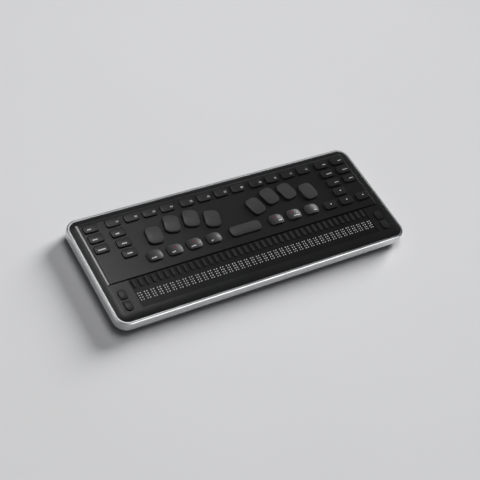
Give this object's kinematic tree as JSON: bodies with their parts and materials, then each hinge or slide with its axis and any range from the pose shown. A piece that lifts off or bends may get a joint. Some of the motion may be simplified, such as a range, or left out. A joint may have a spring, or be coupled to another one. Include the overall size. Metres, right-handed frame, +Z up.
{
  "type": "braille display",
  "caption": "Flat desktop braille display: a line of refreshable dot cells with routing keys, in front of braille and control keys, in a metal-framed black case.",
  "frame": {"origin": "middle of the footprint, on the surface that the rubber feet stand on", "axes": "+X along the braille line to the reader's right, +Y to the rear, +Z up"},
  "size_m": [0.312, 0.12, 0.0192],
  "materials": {
    "frame_metal": "brushed sides with a bright cut bevel along the upper edge",
    "cover_plastic": "satin black moulding with a fine texture",
    "case_plastic": "matt black moulding",
    "cap_plastic": "smooth black moulding",
    "cell_plastic": "plain off-white moulding",
    "pin_plastic": "polished off-white",
    "routing_plastic": "satin black",
    "board_laminate": "green solder mask",
    "battery_foil": "dull foil pouch",
    "button_plastic": "satin black",
    "foot_rubber": "matt black rubber",
    "screw_steel": "dark zinc",
    "key_plastic": "satin black with printed white marks",
    "thumb_key_plastic": "semi-gloss black dome"
  },
  "bodies": {
    "chassis": {"frame": "frame_metal", "top_cover": "cover_plastic", "bottom_case": "case_plastic", "cell_caps": "cap_plastic", "braille_cells": "cell_plastic", "main_board": "board_laminate", "battery_pack": "battery_foil", "feet": "foot_rubber", "screws": "screw_steel"},
    "function_key_1": {"function_key_1": "key_plastic"},
    "function_key_2": {"function_key_2": "key_plastic"},
    "function_key_3": {"function_key_3": "key_plastic"},
    "function_key_4": {"function_key_4": "key_plastic"},
    "function_key_5": {"function_key_5": "key_plastic"},
    "function_key_6": {"function_key_6": "key_plastic"},
    "function_key_7": {"function_key_7": "key_plastic"},
    "function_key_8": {"function_key_8": "key_plastic"},
    "function_key_9": {"function_key_9": "key_plastic"},
    "function_key_10": {"function_key_10": "key_plastic"},
    "function_key_11": {"function_key_11": "key_plastic"},
    "function_key_12": {"function_key_12": "key_plastic"},
    "escape_key": {"escape_key": "key_plastic"},
    "tab_key": {"tab_key": "key_plastic"},
    "caps_lock_key": {"caps_lock_key": "key_plastic"},
    "modifier_key_1": {"modifier_key_1": "key_plastic"},
    "modifier_key_2": {"modifier_key_2": "key_plastic"},
    "modifier_key_3": {"modifier_key_3": "key_plastic"},
    "insert_key": {"insert_key": "key_plastic"},
    "home_key": {"home_key": "key_plastic"},
    "delete_key": {"delete_key": "key_plastic"},
    "page_up_key": {"page_up_key": "key_plastic"},
    "end_key": {"end_key": "key_plastic"},
    "page_down_key": {"page_down_key": "key_plastic"},
    "arrow_up_key": {"arrow_up_key": "key_plastic"},
    "arrow_left_key": {"arrow_left_key": "key_plastic"},
    "arrow_down_key": {"arrow_down_key": "key_plastic"},
    "arrow_right_key": {"arrow_right_key": "key_plastic"},
    "dot_key_1": {"dot_key_1": "key_plastic"},
    "dot_key_2": {"dot_key_2": "key_plastic"},
    "dot_key_3": {"dot_key_3": "key_plastic"},
    "dot_key_7": {"dot_key_7": "key_plastic"},
    "dot_key_4": {"dot_key_4": "key_plastic"},
    "dot_key_5": {"dot_key_5": "key_plastic"},
    "dot_key_6": {"dot_key_6": "key_plastic"},
    "dot_key_8": {"dot_key_8": "key_plastic"},
    "left_thumb_key_1": {"left_thumb_key_1": "thumb_key_plastic"},
    "left_thumb_key_2": {"left_thumb_key_2": "thumb_key_plastic"},
    "left_thumb_key_3": {"left_thumb_key_3": "thumb_key_plastic"},
    "left_thumb_key_4": {"left_thumb_key_4": "thumb_key_plastic"},
    "right_thumb_key_1": {"right_thumb_key_1": "thumb_key_plastic"},
    "right_thumb_key_2": {"right_thumb_key_2": "thumb_key_plastic"},
    "right_thumb_key_3": {"right_thumb_key_3": "thumb_key_plastic"},
    "space_key": {"space_key": "key_plastic"},
    "left_scroll_up_key": {"left_scroll_up_key": "key_plastic"},
    "left_scroll_down_key": {"left_scroll_down_key": "key_plastic"},
    "right_scroll_up_key": {"right_scroll_up_key": "key_plastic"},
    "right_scroll_down_key": {"right_scroll_down_key": "key_plastic"},
    "braille_pins_body": {"braille_pins": "pin_plastic"},
    "routing_keys_body": {"routing_keys": "routing_plastic"},
    "power_button_body": {"power_button": "button_plastic"}
  },
  "joints": [
    {"name": "function_key_1_press", "type": "slide", "parent": "chassis", "child": "function_key_1", "axis": [0, 0, -1], "range_m": [0, 0.0012], "stiffness_N_per_m": 300, "springref_m": -0.0015},
    {"name": "function_key_2_press", "type": "slide", "parent": "chassis", "child": "function_key_2", "axis": [0, 0, -1], "range_m": [0, 0.0012], "stiffness_N_per_m": 300, "springref_m": -0.0015},
    {"name": "function_key_3_press", "type": "slide", "parent": "chassis", "child": "function_key_3", "axis": [0, 0, -1], "range_m": [0, 0.0012], "stiffness_N_per_m": 300, "springref_m": -0.0015},
    {"name": "function_key_4_press", "type": "slide", "parent": "chassis", "child": "function_key_4", "axis": [0, 0, -1], "range_m": [0, 0.0012], "stiffness_N_per_m": 300, "springref_m": -0.0015},
    {"name": "function_key_5_press", "type": "slide", "parent": "chassis", "child": "function_key_5", "axis": [0, 0, -1], "range_m": [0, 0.0012], "stiffness_N_per_m": 300, "springref_m": -0.0015},
    {"name": "function_key_6_press", "type": "slide", "parent": "chassis", "child": "function_key_6", "axis": [0, 0, -1], "range_m": [0, 0.0012], "stiffness_N_per_m": 300, "springref_m": -0.0015},
    {"name": "function_key_7_press", "type": "slide", "parent": "chassis", "child": "function_key_7", "axis": [0, 0, -1], "range_m": [0, 0.0012], "stiffness_N_per_m": 300, "springref_m": -0.0015},
    {"name": "function_key_8_press", "type": "slide", "parent": "chassis", "child": "function_key_8", "axis": [0, 0, -1], "range_m": [0, 0.0012], "stiffness_N_per_m": 300, "springref_m": -0.0015},
    {"name": "function_key_9_press", "type": "slide", "parent": "chassis", "child": "function_key_9", "axis": [0, 0, -1], "range_m": [0, 0.0012], "stiffness_N_per_m": 300, "springref_m": -0.0015},
    {"name": "function_key_10_press", "type": "slide", "parent": "chassis", "child": "function_key_10", "axis": [0, 0, -1], "range_m": [0, 0.0012], "stiffness_N_per_m": 300, "springref_m": -0.0015},
    {"name": "function_key_11_press", "type": "slide", "parent": "chassis", "child": "function_key_11", "axis": [0, 0, -1], "range_m": [0, 0.0012], "stiffness_N_per_m": 300, "springref_m": -0.0015},
    {"name": "function_key_12_press", "type": "slide", "parent": "chassis", "child": "function_key_12", "axis": [0, 0, -1], "range_m": [0, 0.0012], "stiffness_N_per_m": 300, "springref_m": -0.0015},
    {"name": "escape_key_press", "type": "slide", "parent": "chassis", "child": "escape_key", "axis": [0, 0, -1], "range_m": [0, 0.0012], "stiffness_N_per_m": 300, "springref_m": -0.0015},
    {"name": "tab_key_press", "type": "slide", "parent": "chassis", "child": "tab_key", "axis": [0, 0, -1], "range_m": [0, 0.0012], "stiffness_N_per_m": 300, "springref_m": -0.0015},
    {"name": "caps_lock_key_press", "type": "slide", "parent": "chassis", "child": "caps_lock_key", "axis": [0, 0, -1], "range_m": [0, 0.0012], "stiffness_N_per_m": 300, "springref_m": -0.0015},
    {"name": "modifier_key_1_press", "type": "slide", "parent": "chassis", "child": "modifier_key_1", "axis": [0, 0, -1], "range_m": [0, 0.0012], "stiffness_N_per_m": 300, "springref_m": -0.0015},
    {"name": "modifier_key_2_press", "type": "slide", "parent": "chassis", "child": "modifier_key_2", "axis": [0, 0, -1], "range_m": [0, 0.0012], "stiffness_N_per_m": 300, "springref_m": -0.0015},
    {"name": "modifier_key_3_press", "type": "slide", "parent": "chassis", "child": "modifier_key_3", "axis": [0, 0, -1], "range_m": [0, 0.0012], "stiffness_N_per_m": 300, "springref_m": -0.0015},
    {"name": "insert_key_press", "type": "slide", "parent": "chassis", "child": "insert_key", "axis": [0, 0, -1], "range_m": [0, 0.0012], "stiffness_N_per_m": 300, "springref_m": -0.0015},
    {"name": "home_key_press", "type": "slide", "parent": "chassis", "child": "home_key", "axis": [0, 0, -1], "range_m": [0, 0.0012], "stiffness_N_per_m": 300, "springref_m": -0.0015},
    {"name": "delete_key_press", "type": "slide", "parent": "chassis", "child": "delete_key", "axis": [0, 0, -1], "range_m": [0, 0.0012], "stiffness_N_per_m": 300, "springref_m": -0.0015},
    {"name": "page_up_key_press", "type": "slide", "parent": "chassis", "child": "page_up_key", "axis": [0, 0, -1], "range_m": [0, 0.0012], "stiffness_N_per_m": 300, "springref_m": -0.0015},
    {"name": "end_key_press", "type": "slide", "parent": "chassis", "child": "end_key", "axis": [0, 0, -1], "range_m": [0, 0.0012], "stiffness_N_per_m": 300, "springref_m": -0.0015},
    {"name": "page_down_key_press", "type": "slide", "parent": "chassis", "child": "page_down_key", "axis": [0, 0, -1], "range_m": [0, 0.0012], "stiffness_N_per_m": 300, "springref_m": -0.0015},
    {"name": "arrow_up_key_press", "type": "slide", "parent": "chassis", "child": "arrow_up_key", "axis": [0, 0, -1], "range_m": [0, 0.0012], "stiffness_N_per_m": 300, "springref_m": -0.0015},
    {"name": "arrow_left_key_press", "type": "slide", "parent": "chassis", "child": "arrow_left_key", "axis": [0, 0, -1], "range_m": [0, 0.0012], "stiffness_N_per_m": 300, "springref_m": -0.0015},
    {"name": "arrow_down_key_press", "type": "slide", "parent": "chassis", "child": "arrow_down_key", "axis": [0, 0, -1], "range_m": [0, 0.0012], "stiffness_N_per_m": 300, "springref_m": -0.0015},
    {"name": "arrow_right_key_press", "type": "slide", "parent": "chassis", "child": "arrow_right_key", "axis": [0, 0, -1], "range_m": [0, 0.0012], "stiffness_N_per_m": 300, "springref_m": -0.0015},
    {"name": "dot_key_1_press", "type": "slide", "parent": "chassis", "child": "dot_key_1", "axis": [0, 0, -1], "range_m": [0, 0.0018], "stiffness_N_per_m": 300, "springref_m": -0.0015},
    {"name": "dot_key_2_press", "type": "slide", "parent": "chassis", "child": "dot_key_2", "axis": [0, 0, -1], "range_m": [0, 0.0018], "stiffness_N_per_m": 300, "springref_m": -0.0015},
    {"name": "dot_key_3_press", "type": "slide", "parent": "chassis", "child": "dot_key_3", "axis": [0, 0, -1], "range_m": [0, 0.0018], "stiffness_N_per_m": 300, "springref_m": -0.0015},
    {"name": "dot_key_7_press", "type": "slide", "parent": "chassis", "child": "dot_key_7", "axis": [0, 0, -1], "range_m": [0, 0.0018], "stiffness_N_per_m": 300, "springref_m": -0.0015},
    {"name": "dot_key_4_press", "type": "slide", "parent": "chassis", "child": "dot_key_4", "axis": [0, 0, -1], "range_m": [0, 0.0018], "stiffness_N_per_m": 300, "springref_m": -0.0015},
    {"name": "dot_key_5_press", "type": "slide", "parent": "chassis", "child": "dot_key_5", "axis": [0, 0, -1], "range_m": [0, 0.0018], "stiffness_N_per_m": 300, "springref_m": -0.0015},
    {"name": "dot_key_6_press", "type": "slide", "parent": "chassis", "child": "dot_key_6", "axis": [0, 0, -1], "range_m": [0, 0.0018], "stiffness_N_per_m": 300, "springref_m": -0.0015},
    {"name": "dot_key_8_press", "type": "slide", "parent": "chassis", "child": "dot_key_8", "axis": [0, 0, -1], "range_m": [0, 0.0018], "stiffness_N_per_m": 300, "springref_m": -0.0015},
    {"name": "left_thumb_key_1_press", "type": "slide", "parent": "chassis", "child": "left_thumb_key_1", "axis": [0, 0, -1], "range_m": [0, 0.0018], "stiffness_N_per_m": 300, "springref_m": -0.0015},
    {"name": "left_thumb_key_2_press", "type": "slide", "parent": "chassis", "child": "left_thumb_key_2", "axis": [0, 0, -1], "range_m": [0, 0.0018], "stiffness_N_per_m": 300, "springref_m": -0.0015},
    {"name": "left_thumb_key_3_press", "type": "slide", "parent": "chassis", "child": "left_thumb_key_3", "axis": [0, 0, -1], "range_m": [0, 0.0018], "stiffness_N_per_m": 300, "springref_m": -0.0015},
    {"name": "left_thumb_key_4_press", "type": "slide", "parent": "chassis", "child": "left_thumb_key_4", "axis": [0, 0, -1], "range_m": [0, 0.0018], "stiffness_N_per_m": 300, "springref_m": -0.0015},
    {"name": "right_thumb_key_1_press", "type": "slide", "parent": "chassis", "child": "right_thumb_key_1", "axis": [0, 0, -1], "range_m": [0, 0.0018], "stiffness_N_per_m": 300, "springref_m": -0.0015},
    {"name": "right_thumb_key_2_press", "type": "slide", "parent": "chassis", "child": "right_thumb_key_2", "axis": [0, 0, -1], "range_m": [0, 0.0018], "stiffness_N_per_m": 300, "springref_m": -0.0015},
    {"name": "right_thumb_key_3_press", "type": "slide", "parent": "chassis", "child": "right_thumb_key_3", "axis": [0, 0, -1], "range_m": [0, 0.0018], "stiffness_N_per_m": 300, "springref_m": -0.0015},
    {"name": "space_key_press", "type": "slide", "parent": "chassis", "child": "space_key", "axis": [0, 0, -1], "range_m": [0, 0.0018], "stiffness_N_per_m": 300, "springref_m": -0.0015},
    {"name": "left_scroll_up_key_press", "type": "slide", "parent": "chassis", "child": "left_scroll_up_key", "axis": [0, 0, -1], "range_m": [0, 0.001], "stiffness_N_per_m": 400, "springref_m": -0.0012},
    {"name": "left_scroll_down_key_press", "type": "slide", "parent": "chassis", "child": "left_scroll_down_key", "axis": [0, 0, -1], "range_m": [0, 0.001], "stiffness_N_per_m": 400, "springref_m": -0.0012},
    {"name": "right_scroll_up_key_press", "type": "slide", "parent": "chassis", "child": "right_scroll_up_key", "axis": [0, 0, -1], "range_m": [0, 0.001], "stiffness_N_per_m": 400, "springref_m": -0.0012},
    {"name": "right_scroll_down_key_press", "type": "slide", "parent": "chassis", "child": "right_scroll_down_key", "axis": [0, 0, -1], "range_m": [0, 0.001], "stiffness_N_per_m": 400, "springref_m": -0.0012},
    {"name": "braille_pins_retract", "type": "slide", "parent": "chassis", "child": "braille_pins_body", "axis": [0, 0, -1], "range_m": [0, 0.0007], "stiffness_N_per_m": 1000, "springref_m": -0.001},
    {"name": "routing_keys_press", "type": "slide", "parent": "chassis", "child": "routing_keys_body", "axis": [0, 0, -1], "range_m": [0, 0.0005], "stiffness_N_per_m": 2000, "springref_m": -0.0006},
    {"name": "power_button_press", "type": "slide", "parent": "chassis", "child": "power_button_body", "axis": [0, -1, 0], "range_m": [0, 0.0006], "stiffness_N_per_m": 500, "springref_m": -0.001}
  ]
}
